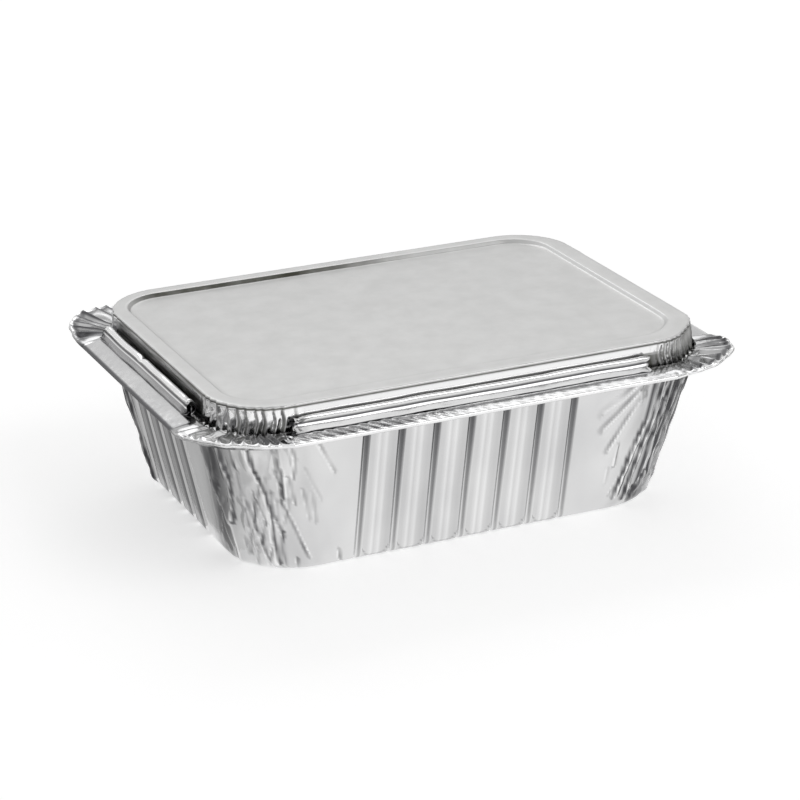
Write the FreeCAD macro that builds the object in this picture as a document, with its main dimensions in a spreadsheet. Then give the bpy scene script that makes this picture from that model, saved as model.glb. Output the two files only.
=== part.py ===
"""Oblong pressed foil food container with a foil lid held under its folded rim.

Millimetres. +X is the long way, -Y the front, +Z up. The origin is the centre of the base,
on the surface that the container stands on.
"""
import FreeCAD, Part
import math
import os
import Sketcher

# Foil and the tapered body of the tray.
FOIL = 0.25
BASE_LONG = 137.6
BASE_WIDE = 98.8
BASE_CORNER = 21.0
TOP_LONG = 157.2
TOP_WIDE = 118.4
TOP_CORNER = 21.5
BASE_EDGE = 3.6
LEDGE_HEIGHT = 45.7

# Flutes pressed into the four walls, and the narrow pleats round the four body corners.
FLUTE_MOUTH = 2.8
FLUTE_FLOOR = 0.5
FLUTE_DEPTH = 1.3
FRONT_FLUTES = 7
FRONT_PITCH = 11.15
FRONT_SHIFT = -2.7
SIDE_FLUTES = 5
SIDE_PITCH = 10.6
SIDE_SHIFT = 7.0
PLEAT_MOUTH = 1.3
PLEAT_FLOOR = 0.3
PLEAT_DEPTH = 0.7
CORNER_PLEATS = 6

# Rim: ledge, outer fold, band folded back over the lid, open roll along its edge.
RIM_LONG = 176.6
RIM_WIDE = 131.2
RIM_CORNER = 24.0
LEDGE_CORNER = 28.0
FOLD_HEIGHT = 1.3
LEDGE_INSET = 1.6
LEG_LAP = 3.2
ROLL_RADIUS = 2.15
ROLL_INSET = 6.2
ROLL_RISE = 3.7
LEFT_ROLL_INSET = 7.8
LEFT_ROLL_RISE = 4.4
ROLL_TAIL_RADIUS = 1.45
ROLL_TURN = 420.0
ROLL_FACETS = 12
FRONT_ROLL = 113.5
FRONT_ROLL_SHIFT = -0.2
SIDE_ROLL = 73.0
SIDE_ROLL_SHIFT = 3.0

# Gathered corner fans of the rim.
FAN_PLEATS = 8
FAN_FLARE = 2.2
FAN_LIFT = 2.3
FAN_END_LIFT = 0.5
FAN_FOLD = 0.7
FAN_REACH = 9.0

# Lid.
LID_CLEAR = 0.1
LID_FLANGE_GAP = 1.4
LID_FLANGE_CORNER = 35.0
LID_LONG = 156.4
LID_WIDE = 113.4
LID_CORNER = 18.7
LID_SHIFT_X = 1.1
LID_SHIFT_Y = 0.2
LID_RISE = 9.3
LID_LEAN = 0.5
LID_EDGE = 0.8
RECESS_BORDER = 5.0
RECESS_SLOPE = 2.0
RECESS_DEPTH = 1.2
LID_PLEATS = 5
LID_PLEAT_MOUTH = 1.4
LID_PLEAT_DEPTH = 0.45

# Flat steps that stand for each rounded edge.
BASE_EDGE_STEPS = 3
LID_EDGE_STEPS = 2
# The sheet holds every size under its own name, and the outlines are bound to it.
SIZES = {
    "foil": FOIL,
    "base_long": BASE_LONG,
    "base_wide": BASE_WIDE,
    "base_corner": BASE_CORNER,
    "top_long": TOP_LONG,
    "top_wide": TOP_WIDE,
    "top_corner": TOP_CORNER,
    "base_edge": BASE_EDGE,
    "ledge_height": LEDGE_HEIGHT,
    "flute_mouth": FLUTE_MOUTH,
    "flute_floor": FLUTE_FLOOR,
    "flute_depth": FLUTE_DEPTH,
    "front_flutes": FRONT_FLUTES,
    "front_pitch": FRONT_PITCH,
    "front_shift": FRONT_SHIFT,
    "side_flutes": SIDE_FLUTES,
    "side_pitch": SIDE_PITCH,
    "side_shift": SIDE_SHIFT,
    "pleat_mouth": PLEAT_MOUTH,
    "pleat_floor": PLEAT_FLOOR,
    "pleat_depth": PLEAT_DEPTH,
    "corner_pleats": CORNER_PLEATS,
    "rim_long": RIM_LONG,
    "rim_wide": RIM_WIDE,
    "rim_corner": RIM_CORNER,
    "ledge_corner": LEDGE_CORNER,
    "fold_height": FOLD_HEIGHT,
    "ledge_inset": LEDGE_INSET,
    "leg_lap": LEG_LAP,
    "roll_radius": ROLL_RADIUS,
    "roll_inset": ROLL_INSET,
    "roll_rise": ROLL_RISE,
    "left_roll_inset": LEFT_ROLL_INSET,
    "left_roll_rise": LEFT_ROLL_RISE,
    "roll_tail_radius": ROLL_TAIL_RADIUS,
    "roll_turn": ROLL_TURN,
    "roll_facets": ROLL_FACETS,
    "front_roll": FRONT_ROLL,
    "front_roll_shift": FRONT_ROLL_SHIFT,
    "side_roll": SIDE_ROLL,
    "side_roll_shift": SIDE_ROLL_SHIFT,
    "fan_pleats": FAN_PLEATS,
    "fan_flare": FAN_FLARE,
    "fan_lift": FAN_LIFT,
    "fan_end_lift": FAN_END_LIFT,
    "fan_fold": FAN_FOLD,
    "fan_reach": FAN_REACH,
    "lid_clear": LID_CLEAR,
    "lid_flange_gap": LID_FLANGE_GAP,
    "lid_flange_corner": LID_FLANGE_CORNER,
    "lid_long": LID_LONG,
    "lid_wide": LID_WIDE,
    "lid_corner": LID_CORNER,
    "lid_shift_x": LID_SHIFT_X,
    "lid_shift_y": LID_SHIFT_Y,
    "lid_rise": LID_RISE,
    "lid_lean": LID_LEAN,
    "lid_edge": LID_EDGE,
    "recess_border": RECESS_BORDER,
    "recess_slope": RECESS_SLOPE,
    "recess_depth": RECESS_DEPTH,
    "lid_pleats": LID_PLEATS,
    "lid_pleat_mouth": LID_PLEAT_MOUTH,
    "lid_pleat_depth": LID_PLEAT_DEPTH,
    "base_edge_steps": BASE_EDGE_STEPS,
    "lid_edge_steps": LID_EDGE_STEPS,
}
doc = FreeCAD.newDocument("FoilContainer")
sheet = doc.addObject("Spreadsheet::Sheet", "Sizes")
for row, (alias, value) in enumerate(SIZES.items(), 1):
    sheet.set("A%d" % row, alias)
    sheet.set("B%d" % row, str(value))
    sheet.setAlias("B%d" % row, alias)
doc.recompute()

LEDGE_TOP = LEDGE_HEIGHT + FOIL


def rounded_outline(name, length, width, corner, height):
    """A sketch of a rounded rectangle about the origin, its sizes bound to the sheet."""
    sketch = doc.addObject("Sketcher::SketchObject", name)
    sketch.setExpression("Placement.Base.z", height)
    hx, hy, r = 50.0, 30.0, 10.0
    vec = FreeCAD.Vector
    up = vec(0, 0, 1)
    lines = [
        Part.LineSegment(vec(-hx + r, -hy, 0), vec(hx - r, -hy, 0)),
        Part.LineSegment(vec(hx, -hy + r, 0), vec(hx, hy - r, 0)),
        Part.LineSegment(vec(hx - r, hy, 0), vec(-hx + r, hy, 0)),
        Part.LineSegment(vec(-hx, hy - r, 0), vec(-hx, -hy + r, 0)),
    ]
    centres = [vec(hx - r, -hy + r, 0), vec(hx - r, hy - r, 0),
               vec(-hx + r, hy - r, 0), vec(-hx + r, -hy + r, 0)]
    for line in lines:
        sketch.addGeometry(line, False)
    for k, centre in enumerate(centres):
        start = math.radians(-90 + 90 * k)
        arc = Part.ArcOfCircle(Part.Circle(centre, up, r), start, start + math.pi / 2)
        sketch.addGeometry(arc, False)
    for k in range(4):
        sketch.addConstraint(Sketcher.Constraint("Tangent", k, 2, 4 + k, 1))
        sketch.addConstraint(Sketcher.Constraint("Tangent", 4 + k, 2, (k + 1) % 4, 1))
    for k in (0, 2):
        sketch.addConstraint(Sketcher.Constraint("Horizontal", k))
    for k in (1, 3):
        sketch.addConstraint(Sketcher.Constraint("Vertical", k))
    for k in range(5, 8):
        sketch.addConstraint(Sketcher.Constraint("Equal", 4, k))
    sketch.addConstraint(Sketcher.Constraint("Symmetric", 4, 3, 6, 3, -1, 1))
    for label, constraint, bound in (
            ("length", Sketcher.Constraint("DistanceX", 3, 1, 1, 2, 2 * hx), length),
            ("width", Sketcher.Constraint("DistanceY", 0, 1, 2, 2, 2 * hy), width),
            ("corner", Sketcher.Constraint("Radius", 4, r), corner)):
        index = sketch.addConstraint(constraint)
        sketch.renameConstraint(index, label)
        sketch.setExpression("Constraints." + label, bound)
    return sketch


def ruled_loft(name, outlines):
    """A solid between two outlines, straight from one to the other."""
    loft = doc.addObject("Part::Loft", name)
    loft.Sections = outlines
    loft.Solid = True
    loft.Ruled = True
    doc.recompute()
    return loft


LEAN_X = (TOP_LONG - BASE_LONG) / 2 / LEDGE_HEIGHT
LEAN_Y = (TOP_WIDE - BASE_WIDE) / 2 / LEDGE_HEIGHT
GROW = (TOP_CORNER - BASE_CORNER) / LEDGE_HEIGHT


def edge_steps(lean, count):
    """A rounded edge in flat steps: its rise and its trim from the wall, as shares of its radius."""
    end = math.pi / 2 - math.atan(lean)
    steps = []
    for k in range(count + 1):
        turn = end * k / count
        rise = 1 - math.cos(turn)
        steps.append((rise, lean * rise + math.tan(end / 2) - math.sin(turn)))
    return steps


def lofted_form(name, inset, floor, roof):
    """The tapered body as a solid, set in from the outside of the foil by inset foils."""
    skin = "%d * Sizes.foil" % inset
    edge = "(Sizes.base_edge - %s)" % skin
    lean_x = "((Sizes.top_long - Sizes.base_long) / Sizes.ledge_height)"
    lean_y = "((Sizes.top_wide - Sizes.base_wide) / Sizes.ledge_height)"
    grow = "((Sizes.top_corner - Sizes.base_corner) / Sizes.ledge_height)"
    places = [("%s + %.6f * %s" % (floor, rise, edge), "%.6f * %s" % (trim, edge))
              for rise, trim in edge_steps(LEAN_Y, BASE_EDGE_STEPS)]
    places.append((roof, "0 * Sizes.foil"))
    outlines = []
    for number, (level, trim) in enumerate(places):
        outlines.append(rounded_outline(
            "%s%d" % (name, number),
            "Sizes.base_long + %s * (%s) - 2 * %s - 2 * %s" % (lean_x, level, skin, trim),
            "Sizes.base_wide + %s * (%s) - 2 * %s - 2 * %s" % (lean_y, level, skin, trim),
            "Sizes.base_corner + %s * (%s) - %s - %s" % (grow, level, skin, trim),
            level))
    return ruled_loft(name, outlines)


outer_form = lofted_form("BodyOutside", 0, "0 * Sizes.foil",
                         "Sizes.ledge_height + Sizes.foil / 2")
cavity_form = lofted_form("BodyInside", 1, "Sizes.foil",
                          "Sizes.ledge_height + 2 * Sizes.foil")


def channel(foot, outward, lean, mouth, floor, depth, skin, top):
    """A slanted channel: a trapezoid at the wall's foot, run up the wall to top."""
    along = FreeCAD.Vector(-outward.y, outward.x, 0)
    slope = (mouth - floor) / 2 / depth
    side = skin * math.sqrt(1 + slope * slope)
    outside = -0.6

    def half(inward):
        return floor / 2 + slope * (depth - inward) + side

    deep = depth + skin
    start = foot - lean
    corners = [start - outward * outside + along * half(outside),
               start - outward * outside - along * half(outside),
               start - outward * deep - along * (half(deep)),
               start - outward * deep + along * (half(deep))]
    wire = Part.makePolygon(corners + [corners[0]])
    return Part.Face(wire).extrude(lean * (top + 1))


def wall_channels(skin, top):
    """All the flutes and the corner pleats, as slanted solids; skin widens them by the foil."""
    made = []
    flute = (FLUTE_MOUTH, FLUTE_FLOOR, FLUTE_DEPTH)
    pleat = (PLEAT_MOUTH, PLEAT_FLOOR, PLEAT_DEPTH)
    vec = FreeCAD.Vector
    half_x, half_y = BASE_LONG / 2, BASE_WIDE / 2
    for side in (-1, 1):
        count = FRONT_FLUTES
        for k in range(count):
            place = FRONT_SHIFT + FRONT_PITCH * (k - (count - 1) / 2)
            made.append(channel(vec(place, side * half_y, 0), vec(0, side, 0),
                                vec(0, side * LEAN_Y, 1), *flute, skin, top))
        count = SIDE_FLUTES
        for k in range(count):
            place = SIDE_SHIFT + SIDE_PITCH * (k - (count - 1) / 2)
            made.append(channel(vec(side * half_x, place, 0), vec(side, 0, 0),
                                vec(side * LEAN_X, 0, 1), *flute, skin, top))
    r = BASE_CORNER
    count = CORNER_PLEATS
    for sx in (-1, 1):
        for sy in (-1, 1):
            for k in range(count):
                turn = math.radians(90.0 * (k + 0.5) / count)
                outward = vec(sx * math.cos(turn), sy * math.sin(turn), 0)
                foot = vec(sx * (half_x - r), sy * (half_y - r), 0) + outward * r
                lean = vec(sx * (LEAN_X - GROW), sy * (LEAN_Y - GROW), 0) + outward * GROW
                made.append(channel(foot, outward, lean + vec(0, 0, 1), *pleat, skin, top))
    return Part.makeCompound(made)


def feature(name, shape):
    made = doc.addObject("Part::Feature", name)
    made.Shape = shape
    return made


outer_cuts = feature("FlutesOutside", wall_channels(0.0, LEDGE_HEIGHT - FOIL))
inner_cuts = feature("FlutesInside", wall_channels(FOIL, LEDGE_HEIGHT + 3 * FOIL))
outer_body = doc.addObject("Part::Cut", "FlutedOutside")
outer_body.Base = outer_form
outer_body.Tool = outer_cuts
cavity = doc.addObject("Part::Cut", "FlutedInside")
cavity.Base = cavity_form
cavity.Tool = inner_cuts
doc.recompute()

# Ledge: a plate the size of the rim, opened later by the body's inside.
ledge_outline = rounded_outline(
    "LedgeOutline", "Sizes.rim_long - 2 * Sizes.ledge_inset",
    "Sizes.rim_wide - 2 * Sizes.ledge_inset", "Sizes.ledge_corner", "Sizes.ledge_height")
ledge = doc.addObject("Part::Extrusion", "Ledge")
ledge.Base = ledge_outline
ledge.DirMode = "Normal"
ledge.Solid = True
ledge.setExpression("LengthFwd", "Sizes.foil")
doc.recompute()


# Rim section: distance in from the outer fold line, and height.
FOLD_R = (FOLD_HEIGHT - FOIL) / 2
FOLD_Z = LEDGE_HEIGHT + FOLD_HEIGHT / 2
ROLL_R = ROLL_RADIUS - FOIL / 2
FOLD_C = (FOLD_R + FOIL / 2, FOLD_Z)
TAIL_R = ROLL_TAIL_RADIUS


def roll_centre(side):
    """Centre of the rolled edge on one side, 0 right, 1 back, 2 left, 3 front."""
    if side == 2:
        return LEFT_ROLL_INSET, LEDGE_HEIGHT + LEFT_ROLL_RISE
    return ROLL_INSET, LEDGE_HEIGHT + ROLL_RISE


def band_line(centre):
    """The band: it leaves the top of the fold and meets the underside of the roll, tangent to both."""
    gap_u = centre[0] - FOLD_C[0]
    gap_z = centre[1] - FOLD_C[1]
    cross = math.atan2(gap_z, gap_u) - math.asin((FOLD_R + ROLL_R) / math.hypot(gap_u, gap_z))
    leave = math.pi / 2 + cross
    start = (FOLD_C[0] + FOLD_R * math.cos(leave), FOLD_C[1] + FOLD_R * math.sin(leave))
    end = (centre[0] - ROLL_R * math.cos(leave), centre[1] - ROLL_R * math.sin(leave))
    return leave, start, end


def roll_section(side):
    """The rolled edge's cut face: a spiral strip of foil in flat facets, open at its end."""
    centre = roll_centre(side)
    leave = math.degrees(band_line(centre)[0])
    turns = ((centre[0], ROLL_R, leave - 182, 180.0),
             (centre[0] - (ROLL_R - TAIL_R), TAIL_R, 180.0, leave - 180 + ROLL_TURN))
    facet = 360.0 / ROLL_FACETS
    skins = []
    for shift in (0.5, -0.5):
        line = []
        for middle, radius, start, end in turns:
            count = max(2, math.ceil((end - start) / facet))
            for k in range(1 if line else 0, count + 1):
                turn = math.radians(start + (end - start) * k / count)
                reach = radius + shift * FOIL
                line.append(FreeCAD.Vector(middle + reach * math.cos(turn), 0,
                                           centre[1] + reach * math.sin(turn)))
        skins.append(line)
    outline = skins[0] + skins[1][::-1]
    return Part.Face(Part.makePolygon(outline + [outline[0]]))


def along_side(face, side, length, shift):
    """Run a rim section along one side: 0 right, 1 back, 2 left, 3 front."""
    vec = FreeCAD.Vector
    solid = face.extrude(vec(0, length, 0))
    solid.translate(vec(0, -length / 2, 0))
    long_side = side in (1, 3)
    half = RIM_WIDE / 2 if long_side else RIM_LONG / 2
    mirror = solid.mirror(vec(0, 0, 0), vec(1, 0, 0))
    mirror.translate(vec(half, 0, 0))
    mirror.rotate(vec(0, 0, 0), vec(0, 0, 1), 90 * side)
    mirror.translate(vec(shift, 0, 0) if long_side else vec(0, shift, 0))
    return mirror


rolls = []
for side in range(4):
    long_side = side in (1, 3)
    rolls.append(along_side(roll_section(side), side,
                            FRONT_ROLL if long_side else SIDE_ROLL,
                            FRONT_ROLL_SHIFT if long_side else SIDE_ROLL_SHIFT))
roll_feature = feature("RolledEdges", Part.makeCompound(rolls))


def rim_section(centre, swell, flare, crease):
    """The folded rim's cut face as (distance in, height) pairs, flared and lifted in a corner."""
    low = LEDGE_HEIGHT
    fold = FOLD_HEIGHT
    nib = fold / 2 * (1 - math.sqrt(0.5))
    out = FOLD_C[0]
    leave, start, end = band_line(centre)
    skin = (FOIL / 2 * math.cos(leave), FOIL / 2 * math.sin(leave))
    leg = LEG_LAP
    outer_fold = [(out, low), (nib, low + nib), (0.0, FOLD_Z), (nib, low + fold - nib),
                  (start[0] + skin[0], start[1] + skin[1])]
    inner_fold = [(start[0] - skin[0], start[1] - skin[1]), (FOIL, FOLD_Z), (out, low + FOIL)]
    pinch = 1 - 0.35 * swell
    lift = FAN_LIFT * swell + FAN_FOLD * crease
    rise = FAN_END_LIFT * swell + 0.6 * FAN_FOLD * crease
    draw = (FAN_REACH - end[0]) * swell

    def moved(pairs):
        return [(u - flare, FOLD_Z + (z - FOLD_Z) * pinch + lift) for u, z in pairs]

    band = [(end[0] + side * skin[0] + draw, end[1] + side * skin[1] + rise) for side in (1, -1)]
    return [(leg, low + 0.25 * FOIL)] + moved(outer_fold) + band + moved(inner_fold) + \
        [(leg, low + 0.75 * FOIL)]


def rim_ring():
    """The folded rim all round: straight along the sides, gathered into pleats in the corners."""
    vec = FreeCAD.Vector
    r = RIM_CORNER
    strips = 2 * FAN_PLEATS
    rings = []
    for corner in range(4):
        sx = (1, -1, -1, 1)[corner]
        sy = (1, 1, -1, -1)[corner]
        centre = vec(sx * (RIM_LONG / 2 - r), sy * (RIM_WIDE / 2 - r), 0)
        for k in range(strips + 1):
            part = k / strips
            turn = math.radians(90 * (corner + part))
            swell = abs(math.sin(math.pi * part)) ** 0.6 if 0 < k < strips else 0.0
            sign = 1 if k % 2 else -1
            crease = sign * (1 + 0.3 * math.sin(2.3 * k)) if 0 < k < strips else 0.0
            flare = FAN_FLARE * swell * (1 + 0.35 * math.sin(1.7 * k))
            out = vec(math.cos(turn), math.sin(turn), 0)
            before, after = roll_centre(corner), roll_centre((corner + 1) % 4)
            roll = [one + (two - one) * part for one, two in zip(before, after)]
            rings.append([centre + out * (r - u) + vec(0, 0, z)
                          for u, z in rim_section(roll, swell, flare, crease)])
    faces = []
    for index, near in enumerate(rings):
        far = rings[(index + 1) % len(rings)]
        flat = index % (strips + 1) == strips
        for k in range(len(near)):
            m = (k + 1) % len(near)
            a, b, c, d = near[k], near[m], far[m], far[k]
            # Both skins of the foil are split along the same diagonal.
            cells = ((a, b, c), (a, c, d)) if k < 7 else ((a, b, d), (b, c, d))
            if flat:
                cells = ((a, b, c, d),)
            for cell in cells:
                faces.append(Part.Face(Part.makePolygon(list(cell) + [cell[0]])))
    shell = Part.Shell(faces)
    shell.sewShape()
    solid = Part.Solid(shell)
    if solid.Volume < 0:
        solid.reverse()
    return solid


ring_feature = feature("FoldedRim", rim_ring())

closed = doc.addObject("Part::MultiFuse", "ClosedTray")
closed.Shapes = [outer_body, ledge, ring_feature, roll_feature]
tray = doc.addObject("Part::Cut", "Tray")
tray.Base = closed
tray.Tool = cavity
tray.Label = "tray"
doc.recompute()


def lid_form(name, inset):
    """The raised part of the lid as a solid, set in from its outside by inset foils."""
    skin = "%d * Sizes.foil" % inset
    base = "Sizes.ledge_height + Sizes.foil + Sizes.lid_clear"
    top = "%s + Sizes.lid_rise - %s" % (base, skin)
    foot = "%s - %s" % (base, skin)
    edge = "(Sizes.lid_edge - %s)" % skin
    places = [(foot, "Sizes.lid_lean", "0 * Sizes.foil")]
    for rise, trim in reversed(edge_steps(LID_LEAN / LID_RISE,
                                          LID_EDGE_STEPS)):
        drop = "%.6f * %s" % (rise, edge)
        places.append(("%s - %s" % (top, drop), "Sizes.lid_lean * %s / Sizes.lid_rise" % drop,
                       "%.6f * %s" % (trim, edge)))
    outlines = []
    for number, (level, lean, trim) in enumerate(places):
        outlines.append(rounded_outline(
            "%sWall%d" % (name, number),
            "Sizes.lid_long + 2 * %s - 2 * %s - 2 * %s" % (lean, skin, trim),
            "Sizes.lid_wide + 2 * %s - 2 * %s - 2 * %s" % (lean, skin, trim),
            "Sizes.lid_corner + %s - %s - %s" % (lean, skin, trim), level))
    block = ruled_loft(name + "Block", outlines)
    pockets = []
    over = "%s + Sizes.foil" % top
    slope = "(Sizes.recess_slope / Sizes.recess_depth)"
    for part, level, run in (
            ("RecessMouth", over, "-Sizes.foil * %s" % slope),
            ("RecessFloor", "%s - Sizes.recess_depth" % top, "Sizes.recess_slope")):
        pockets.append(rounded_outline(
            name + part,
            "Sizes.lid_long - 2 * Sizes.recess_border - 2 * (%s) + 2 * %s" % (run, skin),
            "Sizes.lid_wide - 2 * Sizes.recess_border - 2 * (%s) + 2 * %s" % (run, skin),
            "Sizes.lid_corner - Sizes.recess_border - (%s) + %s" % (run, skin), level))
    recessed = doc.addObject("Part::Cut", name)
    recessed.Base = block
    recessed.Tool = ruled_loft(name + "Recess", pockets)
    doc.recompute()
    return recessed


lid_outside = lid_form("LidOutside", 0)
lid_inside = lid_form("LidInside", 1)


def lid_channels(skin):
    """Upright pleats round the lid's four corners."""
    vec = FreeCAD.Vector
    made = []
    r = LID_CORNER
    count = LID_PLEATS
    rise = LID_RISE
    for sx in (-1, 1):
        for sy in (-1, 1):
            for k in range(count):
                turn = math.radians(90.0 * (k + 0.5) / count)
                outward = vec(sx * math.cos(turn), sy * math.sin(turn), 0)
                foot = vec(sx * (LID_LONG / 2 - r), sy * (LID_WIDE / 2 - r), 0)
                foot = foot + outward * (r + LID_LEAN) + vec(0, 0, LEDGE_TOP)
                lean = vec(0, 0, 1) - outward * (LID_LEAN / rise)
                made.append(channel(foot, outward, lean, LID_PLEAT_MOUTH, 0.3,
                                    LID_PLEAT_DEPTH, skin, rise * 0.8))
    return Part.makeCompound(made)


lid_outer_cuts = feature("LidPleatsOutside", lid_channels(0.0))
lid_inner_cuts = feature("LidPleatsInside", lid_channels(FOIL))
lid_raised = doc.addObject("Part::Cut", "LidRaised")
lid_raised.Base = lid_outside
lid_raised.Tool = lid_outer_cuts
lid_hollow = doc.addObject("Part::Cut", "LidHollow")
lid_hollow.Base = lid_inside
lid_hollow.Tool = lid_inner_cuts
flange_outline = rounded_outline(
    "LidFlangeOutline",
    "Sizes.rim_long - 2 * Sizes.foil - 2 * Sizes.lid_flange_gap - 2 * Sizes.lid_shift_x",
    "Sizes.rim_wide - 2 * Sizes.foil - 2 * Sizes.lid_flange_gap - 2 * Sizes.lid_shift_y",
    "Sizes.lid_flange_corner", "Sizes.ledge_height + Sizes.foil + Sizes.lid_clear")
flange = doc.addObject("Part::Extrusion", "LidFlange")
flange.Base = flange_outline
flange.DirMode = "Normal"
flange.Solid = True
flange.setExpression("LengthFwd", "Sizes.foil")
lid_closed = doc.addObject("Part::Fuse", "LidClosed")
lid_closed.Base = lid_raised
lid_closed.Tool = flange
lid = doc.addObject("Part::Cut", "Lid")
lid.Base = lid_closed
lid.Tool = lid_hollow
lid.Label = "lid"
lid.setExpression("Placement.Base.x", "Sizes.lid_shift_x")
lid.setExpression("Placement.Base.y", "Sizes.lid_shift_y")
doc.recompute()

pieces = [tray, lid]
for thing in doc.Objects:
    bad = [word for word in thing.State if word in ("Invalid", "Error")]
    if bad:
        raise RuntimeError("%s did not compute: %s" % (thing.Name, bad))
for piece in pieces:
    shape = piece.Shape
    if shape.isNull() or not shape.isValid():
        raise RuntimeError("%s has no valid shape" % piece.Label)
    if len(shape.Solids) != 1:
        raise RuntimeError("%s is %d solids" % (piece.Label, len(shape.Solids)))

os.makedirs("parts", exist_ok=True)
for piece in pieces:
    piece.Shape.exportStep(os.path.join("parts", piece.Label + ".step"))
    box = piece.Shape.BoundBox
    print("%-5s volume %.0f mm3, %.1f x %.1f x %.1f, z %.2f to %.2f" % (
        piece.Label, piece.Shape.Volume, box.XLength, box.YLength, box.ZLength, box.ZMin, box.ZMax))
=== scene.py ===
# %% [markdown]
# A pressed foil food container with a foil lid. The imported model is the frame: every piece
# below is made in metres at the place that the frame gives, and stands for one of its nodes.
# Outlines, rings and sections are worked out in millimetres and become metres at the end.

# %% The frame
import math
import random

import bmesh
import bpy
import numpy as np
from mathutils import Matrix, Vector, noise


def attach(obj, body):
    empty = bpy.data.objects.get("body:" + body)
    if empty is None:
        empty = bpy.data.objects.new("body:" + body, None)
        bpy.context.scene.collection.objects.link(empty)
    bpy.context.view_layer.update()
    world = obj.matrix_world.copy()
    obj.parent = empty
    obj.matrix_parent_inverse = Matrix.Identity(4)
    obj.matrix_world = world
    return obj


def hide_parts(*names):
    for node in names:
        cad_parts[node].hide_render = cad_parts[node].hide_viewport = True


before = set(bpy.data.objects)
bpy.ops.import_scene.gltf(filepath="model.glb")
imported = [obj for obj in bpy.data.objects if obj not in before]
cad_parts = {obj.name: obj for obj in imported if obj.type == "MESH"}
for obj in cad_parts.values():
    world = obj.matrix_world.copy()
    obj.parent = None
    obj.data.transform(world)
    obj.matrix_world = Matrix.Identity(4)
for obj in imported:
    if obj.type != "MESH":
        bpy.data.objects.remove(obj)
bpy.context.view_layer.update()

MM = 0.001

# %% [markdown]
# The camera comes first: a long lens from the front left, 21 degrees above the table, rolled
# by less than a degree.

# %% The camera
CAMERA_PLACE = Vector((-0.33224, -0.73441, 0.33740))
CAMERA_SIDE, CAMERA_RISE, CAMERA_ROLL = (math.radians(v) for v in (-24.39, 21.05, 0.756))
CAMERA_LENS, CAMERA_SENSOR, CAMERA_NEAR = 125.7, 36.0, 0.01


def make_camera():
    back = Vector((math.sin(CAMERA_SIDE) * math.cos(CAMERA_RISE),
                   -math.cos(CAMERA_SIDE) * math.cos(CAMERA_RISE), math.sin(CAMERA_RISE)))
    right = Vector((math.cos(CAMERA_SIDE), math.sin(CAMERA_SIDE), 0))
    up = back.cross(right)
    turn_right = right * math.cos(CAMERA_ROLL) - up * math.sin(CAMERA_ROLL)
    turn_up = right * math.sin(CAMERA_ROLL) + up * math.cos(CAMERA_ROLL)
    data = bpy.data.cameras.new("photo_camera")
    data.lens = CAMERA_LENS
    data.sensor_width = CAMERA_SENSOR
    data.clip_start = CAMERA_NEAR
    camera = bpy.data.objects.new("photo_camera", data)
    bpy.context.collection.objects.link(camera)
    axes = Matrix((turn_right, turn_up, back)).transposed().to_4x4()
    camera.matrix_world = Matrix.Translation(CAMERA_PLACE) @ axes
    bpy.context.scene.camera = camera


make_camera()
print("camera set at", [round(v, 3) for v in CAMERA_PLACE])

# %% [markdown]
# Node materials need the same few steps each time: a node, its values, its links. Small
# helpers keep the recipes short.

# %% Material helpers
EVEN = (1.0, 1.0, 1.0)


def new_material(name):
    """An empty node material with its output and its principled shader."""
    material = bpy.data.materials.new(name)
    material.use_nodes = True
    nodes = material.node_tree.nodes
    nodes.clear()
    output = nodes.new("ShaderNodeOutputMaterial")
    shader = nodes.new("ShaderNodeBsdfPrincipled")
    material.node_tree.links.new(shader.outputs["BSDF"], output.inputs["Surface"])
    return material, shader


def add_node(material, kind, values=(), links=()):
    """One node, with input values and with links from other nodes' outputs."""
    node = material.node_tree.nodes.new(kind)
    for key, value in dict(values).items():
        if key in node.inputs:
            node.inputs[key].default_value = value
        else:
            setattr(node, key, value)
    for key, source in dict(links).items():
        material.node_tree.links.new(source, node.inputs[key])
    return node


def stretched_noise(material, stretch, scale, detail=3.0, rough=0.55):
    """Noise on the piece's own coordinates, in features per metre, stretched along an axis."""
    where = add_node(material, "ShaderNodeTexCoord")
    mapped = add_node(material, "ShaderNodeMapping", {"Scale": stretch},
                      {"Vector": where.outputs["Object"]})
    return add_node(material, "ShaderNodeTexNoise",
                    {"Scale": scale, "Detail": detail, "Roughness": rough},
                    {"Vector": mapped.outputs["Vector"]})


def ranged(material, source, low, high, start=0.3, end=0.7):
    """A value mapped from the noise's usual range to low..high."""
    node = add_node(material, "ShaderNodeMapRange",
                    {"From Min": start, "From Max": end, "To Min": low, "To Max": high},
                    {"Value": source})
    return node.outputs["Result"]


# %% [markdown]
# Both foils come from one recipe. A broad noise picks between two close tones. A value painted
# on the mesh mixes in a third tone, for painted shade, highlights and reflections; it may go
# past 0 and 1, because the mix isn't held to its ends. Two more noises raise two reliefs, one
# on the other.

# %% The recipe for foil
FOIL_DEEP, FOIL_LIGHT = (0.78, 0.78, 0.785, 1), (0.88, 0.88, 0.88, 1)
# The dark tone that the tray's painted shade mixes in.
PAINTED_SHADE_TONE = (0.09, 0.09, 0.095, 1)
SATIN_DEEP, SATIN_LIGHT = (0.53, 0.53, 0.525, 1), (0.58, 0.58, 0.575, 1)
MIX_FACTOR, MIX_A, MIX_B, MIX_RESULT = 0, 6, 7, 2


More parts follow.
